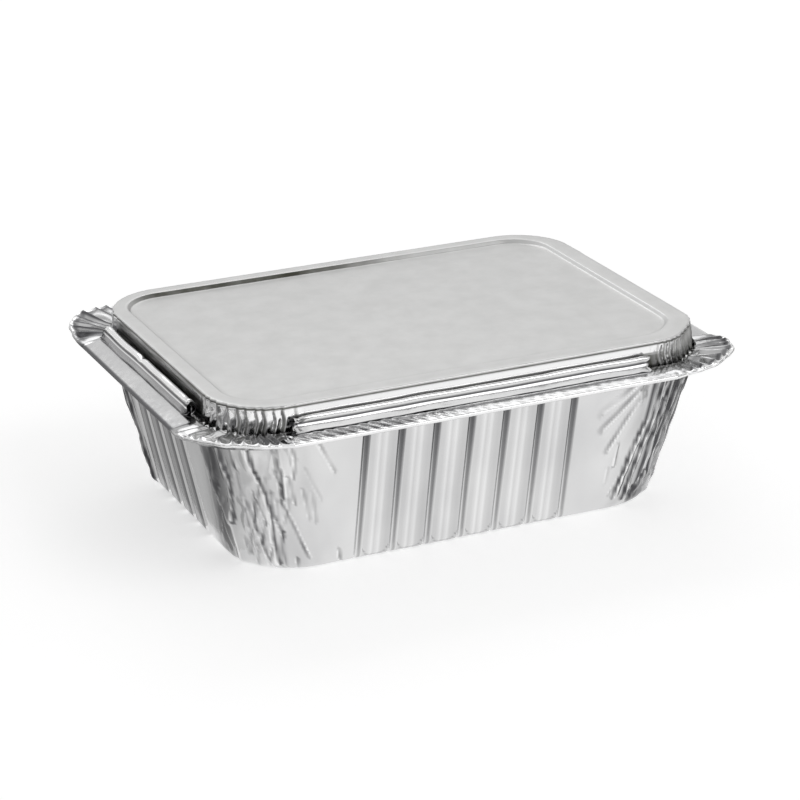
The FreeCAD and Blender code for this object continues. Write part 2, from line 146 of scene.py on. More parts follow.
def foil_recipe(name, broad, ends, tones, painted_tone, reliefs):
    """Foil from noises (stretch, scale, detail, rough); a relief's last value is its depth."""
    material, shader = new_material(name)
    shader.inputs["Metallic"].default_value = 1.0
    links = material.node_tree.links
    cloud = stretched_noise(material, *broad)
    ramp = add_node(material, "ShaderNodeValToRGB", (), {"Fac": cloud.outputs["Fac"]})
    for element, place, tone in zip(ramp.color_ramp.elements, ends, tones):
        element.position = place
        element.color = tone
    # The attribute holds the painted shade, highlights and reflections that the mix adds.
    painted_light = add_node(material, "ShaderNodeAttribute", {"attribute_name": "painted_light"})
    mix = add_node(material, "ShaderNodeMix", {"data_type": "RGBA", "clamp_factor": False})
    links.new(painted_light.outputs["Fac"], mix.inputs[MIX_FACTOR])
    links.new(ramp.outputs["Color"], mix.inputs[MIX_A])
    mix.inputs[MIX_B].default_value = painted_tone
    links.new(mix.outputs[MIX_RESULT], shader.inputs["Base Color"])
    below = {}
    for *spec, depth in reliefs:
        fine = stretched_noise(material, *spec)
        bump = add_node(material, "ShaderNodeBump", {"Strength": 1.0, "Distance": depth * MM},
                        {"Height": fine.outputs["Fac"], **below})
        below = {"Normal": bump.outputs["Normal"]}
    links.new(bump.outputs["Normal"], shader.inputs["Normal"])
    return material, shader.inputs["Roughness"], painted_light.outputs["Fac"], fine.outputs["Fac"]


# %% [markdown]
# The tray is bright foil. The pull of the press shows as fine upright lines and as a soft
# crinkle, so one relief is stretched along Z and one is even. Its third tone is dark, for
# painted shade.

# %% Bright tray foil
UPRIGHT, TALL = (1.0, 1.0, 0.045), (1.0, 1.0, 0.6)


def bright_foil(name, rough, line_depth, crinkle):
    material, roughness, _, even = foil_recipe(
        name, (TALL, 60.0, 2.0), (0.3, 0.7), (FOIL_DEEP, FOIL_LIGHT), PAINTED_SHADE_TONE,
        ((UPRIGHT, 900.0, 4.0, line_depth), (EVEN, 420.0, 4.0, 0.6, crinkle)))
    sheen = ranged(material, even, rough * 0.8, rough * 1.3)
    material.node_tree.links.new(sheen, roughness)
    return material


wall_foil = bright_foil("wall_foil", 0.17, 0.012, 0.05)
rim_foil = bright_foil("rim_foil", 0.14, 0.0, 0.03)
print("tray finishes:", wall_foil.name, rim_foil.name)

# %% [markdown]
# The lid has a satin face: broader gloss, a faint mottling and hardly any crinkle. Its third
# tone is bright, for painted highlights: a painted value of 1 makes its side wall light and
# glossy, and below 0 the metal turns dark with painted shade.

# %% Satin lid foil
MOTTLING = (EVEN, 110.0, 5.0, 0.6)
SATIN_ROUGH, GLOSSY_ROUGH = 0.36, 0.14

# FOIL_LIGHT is the lid's painted highlight tone; the painted value also sets the gloss.
lid_satin, roughness, painted_light, _ = foil_recipe(
    "lid_satin", MOTTLING, (0.35, 0.65), (SATIN_DEEP, SATIN_LIGHT), FOIL_LIGHT,
    ((*MOTTLING, 0.02), (EVEN, 1500.0, 2.0, 0.004)))
sheen = ranged(lid_satin, painted_light, SATIN_ROUGH, GLOSSY_ROUGH, 0.0, 1.0)
lid_satin.node_tree.links.new(sheen, roughness)
print("lid finish:", lid_satin.name)

# %% [markdown]
# A few small curves shape nearly everything below.

# %% Small curves


def clamp(value, low=0.0, high=1.0):
    """The value, held between two limits."""
    return max(low, min(high, value))


def hump(value, middle, wide):
    """1 at the middle, falling off smoothly on both sides."""
    return math.exp(-((value - middle) / wide) ** 2)


def tent(value, middle, half):
    """1 at the middle, falling evenly to 0 at a distance of half."""
    return max(0.0, 1 - abs(value - middle) / half)


def noise_at(x, y, z):
    """Smooth noise at a point, about -1 to 1."""
    return noise.noise(Vector((x, y, z)))


# %% [markdown]
# Every part of this container follows a rounded rectangle. One function walks round it: side
# 0 is the front, then right, back and left, and a run is the distance from a side's middle.
# Corner 0 is the front right one, and each corner follows its side.

# %% Walking round a rounded rectangle
FRONT_RIGHT, LEFT, FRONT_LEFT = 0, 3, 3


def quarter_turned(vector, side):
    """A vector on the front, turned about Z to another side."""
    for _ in range(side):
        vector = Vector((-vector.y, vector.x, vector.z))
    return vector


def round_place(half_x, half_y, corner, side, run):
    """The point and the outward direction at a run along a side, round into its corners."""
    long_half, deep = (half_x, half_y) if side % 2 == 0 else (half_y, half_x)
    straight = long_half - corner
    over = max(0.0, abs(run) - straight)
    turn = over / corner * (1 if run > 0 else -1)
    place = Vector((clamp(run, -straight, straight) + corner * math.sin(turn),
                    -deep + corner * (1 - math.cos(turn)), 0))
    out = Vector((math.sin(turn), -math.cos(turn), 0))
    return quarter_turned(place, side), quarter_turned(out, side)


def half_side(half_x, half_y, corner, side):
    """From a side's middle to the middle of its corner, along the outline."""
    long_half = half_x if side % 2 == 0 else half_y
    return long_half - corner + corner * math.pi / 4


def side_runs(reach, arc, fine, coarse):
    """Runs along a side: in fine steps within arc of its ends, in coarse ones between."""
    straight = reach - arc
    turns, steps = round(arc / fine), round(2 * straight / coarse)
    return ([-reach + arc * k / turns for k in range(turns)]
            + [-straight + 2 * straight * k / steps for k in range(steps)]
            + [straight + arc * k / turns for k in range(turns)])


def from_corner(side, run, reach):
    """The nearest corner, and the signed distance from that corner's middle."""
    return (side, run - reach) if run > 0 else ((side - 1) % 4, run + reach)


# %% [markdown]
# A skin is grown like a cup on a press: a ring of points is extruded edge by edge, and each
# new ring is moved to its own outline. The foil's own thickness is added at the end.

# %% Growing a skin of rings


def extruded(mesh, edges, station):
    """The edges extruded on the spot: the new edges, and the new vertices by station."""
    grown = bmesh.ops.extrude_edge_only(mesh, edges=edges)["geom"]
    fresh = {item for item in grown if isinstance(item, bmesh.types.BMVert)}
    edges = [item for item in grown if isinstance(item, bmesh.types.BMEdge)
             and item.verts[0] in fresh and item.verts[1] in fresh]
    return edges, sorted(fresh, key=lambda v: v[station])


def as_object(name, mesh):
    """A new object that holds the mesh."""
    data = bpy.data.meshes.new(name)
    mesh.to_mesh(data)
    mesh.free()
    made = bpy.data.objects.new(name, data)
    bpy.context.collection.objects.link(made)
    return made, data


def finish_piece(name, mesh, material, foil=0.0):
    """Outward faces, metres, smooth shading, the foil's thickness and the body it rides."""
    bmesh.ops.recalc_face_normals(mesh, faces=mesh.faces)
    bmesh.ops.scale(mesh, vec=(MM, MM, MM), verts=mesh.verts)
    piece, data = as_object(name, mesh)
    data.shade_smooth()
    data.materials.append(material)
    if foil:
        wall = piece.modifiers.new("foil", "SOLIDIFY")
        wall.thickness = foil * MM
        wall.offset = -1.0
    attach(piece, "root")
    print("%s: %d faces" % (name, len(data.polygons)))
    return piece


def grow_skin(name, rings, material, painted_light, closed, foil=0.0):
    """A ring of edges extruded through rings of places and their painted shade; closed says which
    ends get a face.
    """
    mesh = bmesh.new()
    station = mesh.verts.layers.int.new("station")
    painted_layer = mesh.verts.layers.float.new("painted_light")
    bmesh.ops.create_circle(mesh, segments=len(rings[0]), radius=1.0)
    ring = sorted(mesh.verts, key=lambda v: math.atan2(v.co.y, v.co.x) % (2 * math.pi))
    edges = list(mesh.edges)
    for number, (places, tones) in enumerate(zip(rings, painted_light)):
        if number:
            edges, ring = extruded(mesh, edges, station)
        elif closed[0]:
            bmesh.ops.contextual_create(mesh, geom=edges)
        for index, vert in enumerate(ring):
            vert[station] = index
            vert[painted_layer] = tones[index]
            vert.co = places[index]
    if closed[1]:
        bmesh.ops.contextual_create(mesh, geom=edges)
    return finish_piece(name, mesh, material, foil)


# %% [markdown]
# The walls lean outwards evenly, with seven flutes on each long side and five on each short
# one. The stations round the tray stand close together at each flute's edges and in the
# corners, where the foil that is left over gathers into creases.

# %% Where the stations stand
BODY_X, BODY_Y, BODY_R = BODY = 68.8, 49.4, 21.0
LEAN = 0.2144
FLUTES_LONG = [-2.7 + 11.15 * k for k in range(-3, 4)]
FLUTES_SHORT = [7.0 + 10.6 * k for k in range(-2, 3)]
FLUTE_STEPS = (-1.8, -1.5, -1.34, -1.15, -0.8, -0.45, -0.28, -0.1,
               0.1, 0.28, 0.45, 0.8, 1.15, 1.34, 1.5, 1.8)
PANEL_PARTS, CORNER_STEP = 10, 0.55


def side_flutes(side):
    """The flutes of a side as runs, in the order in which the outline is walked."""
    places = FLUTES_LONG if side % 2 == 0 else FLUTES_SHORT
    return places if side < 2 else [-p for p in reversed(places)]


def wall_stations():
    """Each station: (side, fixed run, share of the rest up to the corner's middle)."""
    made = []
    clear = FLUTE_STEPS[-1]
    for side in range(4):
        flutes = side_flutes(side)
        fixed = []
        for number, place in enumerate(flutes):
            fixed += [place + step for step in FLUTE_STEPS]
            if number < len(flutes) - 1:
                free = flutes[number + 1] - place - 2 * clear
                fixed += [place + clear + free * k / PANEL_PARTS for k in range(1, PANEL_PARTS)]
        reach = half_side(*BODY, side)
        before, after = (round((reach - abs(end)) / CORNER_STEP) for end in (fixed[0], fixed[-1]))
        made += [(side, fixed[0], -(before - k) / before) for k in range(before)]
        made += [(side, run, 0.0) for run in fixed]
        made += [(side, fixed[-1], (k + 1) / after) for k in range(after - 1)]
    return made


STATIONS = wall_stations()
print("stations round the walls:", len(STATIONS))

# %% [markdown]
# A crease is a fold line on the wall with a steep flank and a shallow one. The main folds of
# the two near corners are placed after the picture. Each row is a line of (distance from the
# corner's middle, height), then the fold's height and the widths of its two flanks.

# %% The creases of the near corners
FRONT_LEFT_FOLDS = [
    ([(-19, 46), (-17, 36), (-14, 24), (-9, 15), (-8, 1)], 0.75, 0.7, 2.2),
    ([(-16, 46), (-13.5, 38), (-12.5, 30)], 0.5, 1.2, 0.6),
    ([(-9.5, 45), (-8.5, 37), (-6.5, 30), (-8, 16)], 0.6, 1.6, 0.5),
    ([(-4, 46), (-3, 36)], 0.45, 0.5, 1.4),
    ([(0.5, 44), (1.5, 36), (4.0, 28), (4.6, 21), (4, 12), (4.5, 3)], 0.6, 2.6, 0.8),
    ([(8.5, 46), (10.5, 34), (9.8, 27)], 0.45, 0.8, 1.5),
    ([(9, 25), (11, 18), (14, 5)], 0.4, 0.5, 1.3),
    ([(13, 46), (14, 39), (12.5, 33)], 0.35, 1.1, 0.6),
    ([(21, 45), (25, 33)], 0.30, 2.0, 1.0),
    ([(-2.5, 24), (0, 12), (1.5, 4)], 0.35, 1.4, 0.7),
    ([(8, 14), (7.4, 2)], 0.4, 0.5, 0.9),
]
FRONT_RIGHT_FOLDS = [
    ([(-20, 46), (-25, 40), (-31, 36)], 0.45, 1.8, 2.6),
    ([(-21, 41), (-25, 35), (-29, 30)], 0.45, 1.5, 2.2),
    ([(-19.5, 38), (-22, 31), (-25, 22)], 0.40, 1.0, 2.0),
    ([(-15.5, 46), (-14.5, 31), (-16, 20), (-17, 5)], 0.75, 0.6, 1.3),
    ([(-13, 46), (-12.5, 30), (-13.5, 4)], 0.8, 0.7, 0.9),
    ([(-9, 46), (-10, 24), (-9, 7)], 0.7, 0.6, 2.0),
    ([(-5, 46), (-6, 28), (-5.5, 10)], 0.6, 0.8, 1.6),
    ([(-1, 46), (-1.5, 30), (-1, 3)], 0.7, 1.8, 0.8),
    ([(4, 46), (3, 25), (3.5, 6)], 0.6, 0.8, 1.8),
    ([(9, 46), (8, 22), (7, 2)], 0.7, 1.8, 0.9),
    ([(14, 46), (13, 26), (12, 8)], 0.5, 1.0, 1.4),
]
print("folds placed by hand:", len(FRONT_LEFT_FOLDS), len(FRONT_RIGHT_FOLDS))

# %% [markdown]
# The picture doesn't show the far corners, so chance draws their folds, from a fixed seed, and
# in all corners the small sharp creases between the main ones.

# %% The creases left to chance
FOLD_TOP = 46


def chance_folds(seed, count=11):
    """Folds for a far corner: steep, and crowded at its middle."""
    pick = random.Random(seed)
    made = []
    for k in range(count):
        top = -17 + 34 * (k + 0.5) / count + pick.uniform(-1, 1)
        foot = top * pick.uniform(0.75, 1.0)
        low = pick.choice((2.0, 4.0, 9.0, 18.0))
        middle = ((top + foot) / 2 + pick.uniform(-1.2, 1.2), (FOLD_TOP + low) / 2)
        made.append(([(top, FOLD_TOP), middle, (foot, low)], pick.uniform(0.4, 0.8),
                     pick.uniform(0.5, 1.6), pick.uniform(0.6, 2.2)))
    for side in (-1, 1):
        made.append(([(side * 20, 45), (side * 26, 36)], 0.4, 1.8, 2.4))
    return made


def small_folds(seed, count=34):
    """Short sharp creases, some raised and some pressed in."""
    pick = random.Random(seed)
    made = []
    for _ in range(count):
        a, z = pick.gauss(0, 9.0), pick.uniform(4, 44)
        long, lean = pick.uniform(4.0, 11.0), pick.uniform(-0.35, 0.35)
        height = pick.choice((-1, 1)) * pick.uniform(0.12, 0.4)
        made.append(([(a, z), (a + lean * long, z - long)], height,
                     pick.uniform(0.35, 0.9), pick.uniform(0.35, 0.9)))
    return made


CORNER_FOLDS = [FRONT_RIGHT_FOLDS + small_folds(5), chance_folds(11) + small_folds(6),
                chance_folds(23) + small_folds(7), FRONT_LEFT_FOLDS + small_folds(8)]
print("folds per corner:", [len(folds) for folds in CORNER_FOLDS])

# %% [markdown]
# A fold is highest on its line and falls evenly over each flank. The steeper flank is painted
# dark and the crest bright, because so small a mirror shows more contrast than the mesh can.

# %% The height and the shade of folds
FOLD_HIGH, FOLD_WIDE = 1.45, 1.5
LEAST_UPRIGHT, LEAST_SLANTED = 1.3, 2.0
FAR_OFF = 99.0
CREST_FROM = 0.72
SHADE_LOW, SHADE_HIGH = -0.6, 0.9


def fold_distance(line, a, z):
    """The signed distance from a fold's line, over arrays of places."""
    best, signed = np.full_like(a, FAR_OFF), np.full_like(a, FAR_OFF)
    for (a0, z0), (a1, z1) in zip(line, line[1:]):
        da, dz = a1 - a0, z1 - z0
        share = np.clip(((a - a0) * da + (z - z0) * dz) / (da * da + dz * dz), 0, 1)
        away_a, away_z = a - a0 - share * da, z - z0 - share * dz
        away = np.hypot(away_a, away_z)
        nearer = away < best
        best = np.where(nearer, away, best)
        signed = np.where(nearer, away * np.sign(away_a), signed)
    return signed


def fold_height(folds, a, z):
    """The outward height of all the folds over arrays of places, and their painted shade and
    highlight.
    """
    total, shade = np.zeros_like(a), np.zeros_like(a)
    for line, height, near, far in folds:
        signed = fold_distance(line, a, z)
        (top_a, top_z), (foot_a, foot_z) = line[0], line[-1]
        slanted = abs(foot_a - top_a) > 0.45 * abs(foot_z - top_z)
        least = LEAST_SLANTED if slanted else LEAST_UPRIGHT
        near, far = max(near * FOLD_WIDE, least), max(far * FOLD_WIDE, least)
        rise = np.where(signed < 0, 1 + signed / near, 1 - signed / far)
        total += height * FOLD_HIGH * np.clip(rise, 0, 1)
        strong = min(1.0, abs(height) * 1.5) * (1.0 if abs(height) > 0.5 else 0.7)
        steep_side = np.where(near < far, signed < 0, signed > 0)
        flank = np.clip(rise, 0, 1) * np.clip(1.15 - rise, 0, 1) * 4
        crest = np.clip((rise - CREST_FROM) / (1 - CREST_FROM), 0, 1)
        broken = 0.80 + 0.40 * np.sin(z * 0.55 + top_a * 2.1) * np.sin(z * 0.23 + top_a)
        shade += strong * broken * (np.where(steep_side, flank, 0.0) * 1.05 - crest)
    return total, np.clip(shade, SHADE_LOW, SHADE_HIGH)


# %% [markdown]
# The press pushed each flute in and let the panels between them bow out a little. On the long
# sides a flute's painted shade line widens upwards, and on the short ones one flank gets a
# painted highlight.

# %% Flutes and panels
FLUTE_HALF, FLUTE_RAMP, FLUTE_DEEP = 1.4, 1.15, 1.3
# Panels get a little painted shade, bands of painted highlight and shade, and on the left wall
# darker painted reflection.
PANEL_BOW, PANEL_PAINTED_SHADE = 0.13, 0.10
PANEL_PAINTED_BANDS = ((0.3, 0.07, -0.30), (0.56, 0.07, -0.30), (0.9, 0.14, 0.10))
LEFT_PANEL_PAINTED_SHADE = 0.64
TOP_Z = 46.0


def flute_painted_light(side, signed, height):
    """The painted shade or highlight of a flute, by the distance from its middle."""
    if side % 2:
        return -0.4 if -FLUTE_HALF < signed < -0.1 else 0.0
    up = min(1.0, height / TOP_Z)
    middle, half = 0.68 - 0.20 * up, 0.26 + 0.48 * up
    return (0.42 + 0.52 * up) * clamp((half + 0.2 - abs(signed - middle)) / 0.35)


def press_depth_and_painted_light(side, run, height):
    """How far the press pushed the wall in (a flute) or bowed it out (a panel), and the painted
    shade and highlight there.
    """
    flutes = side_flutes(side)
    signed = run - min(flutes, key=lambda place: abs(place - run))
    away = abs(signed)
    fade = clamp(0.25 + height / 3.5)
    slope = clamp((FLUTE_HALF - away) / FLUTE_RAMP)
    depth = FLUTE_DEEP * (slope * slope * (3 - 2 * slope) * 0.35 + slope * 0.65) * fade
    tone = flute_painted_light(side, signed, height)
    if flutes[0] < run < flutes[-1] and away > FLUTE_HALF:
        half = abs(flutes[1] - flutes[0]) / 2 - FLUTE_HALF
        across = (away - FLUTE_HALF) / half
        depth -= PANEL_BOW * (1 - (1 - across) ** 2) * fade
        place = across / 2 if signed > 0 else 1 - across / 2
        # Painted shade and highlight bands on the panel, a painted shade line along its rounded
        # bottom, and on the left wall darker painted reflection.
        tone += PANEL_PAINTED_SHADE
        tone += sum(level * hump(place, middle, wide) for middle, wide, level in PANEL_PAINTED_BANDS)
        tone += 0.40 * tent(height, 1.1 + 2.6 * (1 - across) ** 4, 0.5)
        if side == LEFT:
            tone += LEFT_PANEL_PAINTED_SHADE + 0.14 * (1 - across) - 0.10 * across
    return depth, tone


# %% [markdown]
# The wall is the rounded outline plus what was done to it: flutes, panels, folds, a fine
# crumple in the corners and a slow waviness. Each ring of the skin is one height, and at the
# bottom the edge of the base rolls under.

# %% The rings of the wall
EDGE_R, EDGE_STEPS = 3.6, 8
EDGE_END = math.pi / 2 - math.atan(LEAN)
LEDGE_Z, WALL_STEPS = 45.7, 62
CORNER_OPENS = 0.0109
# Painted shade in the corners: a cloudy tone under the folds, dark columns of painted reflection
# in the two near corners, and a limit on how dark it gets.
CORNER_PAINTED_SHADE = (0.36, 0.36, 0.36, 0.22)
PAINTED_DARK_COLUMNS = {FRONT_RIGHT: (0.42, -5.0, 0.0, 5.5), FRONT_LEFT: (0.80, -15.5, 0.06, 6.5)}
DARKEST = (1.0, 1.0, 1.0, 0.93)


def wall_levels():
    """(height, trim from the straight wall line) from the base's edge to the ledge."""
    made = []
    for k in range(EDGE_STEPS + 1):
        turn = EDGE_END * k / EDGE_STEPS
        rise = 1 - math.cos(turn)
        trim = LEAN * rise + math.tan(EDGE_END / 2) - math.sin(turn)
        made.append((EDGE_R * rise, EDGE_R * trim))
    low = made[-1][0]
    high = LEDGE_Z - 0.35
    made += [(low + (high - low) * (k + 1) / WALL_STEPS, 0.0) for k in range(WALL_STEPS)]
    return made


def corner_painted_shade(corner, a, height, tight):
    """The cloudy painted shade under a corner's folds, with a dark column of painted reflection
    in the near ones.
    """
    cloud = 0.5 + noise_at(a / 5.0, height / 12.0, corner * 5.3)
    ground = CORNER_PAINTED_SHADE[corner] * tight * cloud
    if corner in PAINTED_DARK_COLUMNS:
        level, middle, lean, wide = PAINTED_DARK_COLUMNS[corner]
        ground += level * hump(a, middle + lean * height, wide)
    return ground


def wall_ring(height, trim, inset=0.0, creased=1.0):
    """One ring of places round the wall, and the painted shade and highlight of each place."""
    narrower = LEAN * height - trim - inset
    half_x, half_y = BODY_X + narrower, BODY_Y + narrower
    corner_r = BODY_R + CORNER_OPENS * height - trim - inset
    places, outs, nears, corners, tones = [], [], [], [], []
    for side, run, share in STATIONS:
        reach = half_side(half_x, half_y, corner_r, side)
        run += share * (reach - abs(run))
        place, out = round_place(half_x, half_y, corner_r, side, run)
        depth, tone = press_depth_and_painted_light(side, run, height)
        if share:
            depth, tone = (depth, tone) if depth > 0 else (0.0, 0.0)
            depth -= 0.12 * min(1.0, height / 6.0)
        corner, near = from_corner(side, run, reach)
        places.append(place + Vector((0, 0, height)) - out * depth)
        outs.append(out)
        nears.append(near)
        corners.append(corner)
        tones.append(tone)
    nears, corners = np.array(nears), np.array(corners)
    lift, shade = np.zeros(len(places)), np.zeros(len(places))
    for number, folds in enumerate(CORNER_FOLDS):
        here = corners == number
        level = np.full(here.sum(), float(height))
        lift[here], shade[here] = fold_height(folds, nears[here], level)
    fade = np.clip((34 - np.abs(nears)) / 8, 0, 1) * min(1.0, 0.35 + height / 4.0)
    for index, out in enumerate(outs):
        a, corner = nears[index], int(corners[index])
        tight = clamp((22 - abs(a)) / 9)
        crumple = noise_at(a / 3.4 + 31 * corner, height / 11.0, corner * 9.7)
        crumple = (abs(crumple) - 0.25) * 0.8 * tight
        slow = noise.noise(places[index] / 26.0) * 0.18
        move = (lift[index] * fade[index] + crumple * min(1.0, 0.3 + height / 5)) * creased + slow
        places[index] = places[index] + out * move
        # The folds' painted shade and highlights, the corner's painted shade, and a painted shade
        # line along the base.
        ground = corner_painted_shade(corner, a, height, tight)
        tone = tones[index] + (shade[index] + ground) * fade[index] * creased
        tones[index] = min(DARKEST[corner], tone + 0.35 * tent(height, 0.0, 0.5))
    return places, tones


print("rings up the wall:", len(wall_levels()))

# %% [markdown]
# The tray's body is one closed skin: from the middle of the base over the rolled edge, up the
# creased wall and out along the ledge, then back in and down the plain, hidden inside.

# %% The tray's body
LEDGE = 86.4, 63.7, 26.0
BASE_RINGS = ((14.0, 0.45), (9.0, 0.40), (5.0, 0.30), (2.0, 0.12), (0.8, 0.03))
LEDGE_RINGS = ((0.03, 45.58), (0.12, 45.7), (0.5, 45.7), (1.0, 45.7), (1.0, 45.9), (0.5, 45.9))
INSIDE_RINGS = ((45.9, 1.6), (30.0, 1.6), (15.0, 1.6), (3.2, 1.6), (0.9, 3.6))
INSIDE_BASE = (14.0, 0.85)


def base_ring(inset, height):
    """The flat base, drawn in from its edge; it bows up by a hair, as pressed foil does."""
    ring, _ = wall_ring(0.0, EDGE_R * math.tan(EDGE_END / 2) + inset, 0.0, 0.0)
    return [Vector((p.x, p.y, height)) for p in ring]


def ledge_ring(top, share, height):
    """Places between the wall's top and the ledge's outer part."""
    made = []
    for (side, run, part), inner in zip(STATIONS, top):
        reach = half_side(*LEDGE, side)
        outer_run = run + part * (reach - abs(run))
        outer, _ = round_place(*LEDGE, side, outer_run)
        made.append(Vector((inner.x + (outer.x - inner.x) * share,
                            inner.y + (outer.y - inner.y) * share, height)))
    return made


def make_body():
    plain = [0.0] * len(STATIONS)
    top, _ = wall_ring(LEDGE_Z, 0.0)
    layers = [(base_ring(inset, height), plain) for inset, height in BASE_RINGS]
    layers += [wall_ring(height, trim) for height, trim in wall_levels()]
    layers += [(ledge_ring(top, share, height), plain) for share, height in LEDGE_RINGS]
    layers += [(wall_ring(height, 0.0, inset, 0.0)[0], plain) for height, inset in INSIDE_RINGS]
    layers.append((base_ring(*INSIDE_BASE), plain))
    rings, painted_light = zip(*layers)
    body = grow_skin("tray_body", rings, wall_foil, painted_light, (True, True))
    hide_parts("tray")


make_body()

# %% [markdown]
# Foil that goes round a corner lies in pleats of uneven width. A row of pleats is a sawtooth:
# each has a steep side, which gets painted shade, and a long one.

# %% Rows of pleats


def pleat_line(seed, total, low, high):
    """A row of pleats: each one's start, end, height and the share of its steep side."""
    pick = random.Random(seed)
    ends = [0.0]
    while ends[-1] < total:
        ends.append(ends[-1] + pick.uniform(low, high))
    return [(a, b, pick.uniform(0.55, 1.15), pick.uniform(0.15, 0.45))
            for a, b in zip(ends, ends[1:])]


def pleat_at(pleats, along):
    """(part of the way across, height, steep share) of the pleat at a place, or None."""
    for start, end, high, steep in pleats:
        if start <= along < end:
            return (along - start) / (end - start), high, steep
    return None


def pleat_height(pleats, along):
    """The sawtooth, from -1 to 1 times the pleat's height."""
    found = pleat_at(pleats, along)
    if found is None:
        return 0.0
    part, high, steep = found
    wave = part / steep if part < steep else (1 - part) / (1 - steep)
    return (wave * 2 - 1) * high


def pleat_painted_shade(pleats, along):
    """The painted shade of a pleat: most on its steep side, and on the highest pleats all over.
    """
    found = pleat_at(pleats, along)
    if found is None:
        return 0.0
    part, high, steep = found
    edge = min(1.0, 1.5 * tent(part, steep * 0.5, steep * 0.8 + 0.12))
    return edge + (0.40 if high > 0.95 else -0.15) * (1 - edge)


FAN_PLEATS = [pleat_line(seed, 80.0, 2.8, 5.6) for seed in (31, 32, 37, 34)]
BAND_PLEATS = [pleat_line(seed, 160.0, 2.6, 4.2) for seed in (51, 52, 53, 54)]
LID_PLEATS = [pleat_line(seed, 80.0, 1.9, 4.4) for seed in (71, 72, 73, 74)]
print("pleats per fan:", [len(row) for row in FAN_PLEATS])

# %% [markdown]
# The rim is the ledge's outer part folded up and back over the lid. Along the sides it lies
# as a flat band; round each corner it swells into a raised fan of pleats with a ragged hem.
# One section is worked out for each station round the rim.

# %% The rim's section
RIM_X, RIM_Y, RIM_R = RIM = 88.3, 65.6, 24.0
RIM_ARC = RIM_R * math.pi / 4
RIM_STEP, FAN_STEP = 0.5, 0.28
FOLD_R, FOLD_STEPS = 0.62, 6
# A painted highlight along the fold line, and painted shade there on the left side.
FOLD_PAINTED_HIGHLIGHT, LEFT_FOLD_PAINTED_SHADE = -0.2, 0.97
ROLL_PLACE = ((6.8, 49.9), (6.6, 49.7), (6.8, 49.9), (7.8, 50.1))
ROLL_R = 2.03
LEAVE = -math.radians(74.0)
FAN_START, FAN_LIFT, FAN_FLARE = 3.0, 2.5, 2.2
FAN_END_U, FAN_END_Z = 10.2, 47.3
FAN_ALONG, BAND_ALONG, BAND_SLANT = 35.0, 80.0, 1.2
BAND_STEPS = 13
# Painted shade on the flat band, and painted shade and highlight on the corner fans.
BAND_PAINTED_SHADE = (0.36, 0.36, 0.36, 0.26)
FAN_PAINTED_LIGHT = (-0.45, -0.05, 0.45, -0.05)
FAN_PAINTED_CONTRAST = (1.0, 1.05, 1.35, 1.05)
RIM_DARKEST = 0.97


def rim_stations():
    """(side, run) all round the fold line: close together in the corners."""
    return [(side, run) for side in range(4)
            for run in side_runs(half_side(*RIM, side), RIM_ARC, FAN_STEP, RIM_STEP)]


def band_strength(side, run):
    """How strongly the flat band is pleated."""
    if side == 0:
        return 0.30 * hump(run, -38.0, 18.0) + 0.03
    if side == 2:
        return 0.30 * hump(run, 34.0, 14.0) + 0.04
    return 0.012


def band_end(side, run, swell):
    """Where the section ends: under the roll, or by the lid's wall in the corners."""
    roll_u, roll_z = ROLL_PLACE[side]
    beside = ROLL_PLACE[(side + 1) % 4 if run > 0 else (side - 1) % 4]
    blend = swell * 0.5
    end_u = roll_u + (beside[0] - roll_u) * blend + ROLL_R * math.cos(LEAVE)
    end_z = roll_z + (beside[1] - roll_z) * blend + ROLL_R * math.sin(LEAVE)
    return end_u + (FAN_END_U - end_u) * swell, end_z + (FAN_END_Z - end_z) * swell


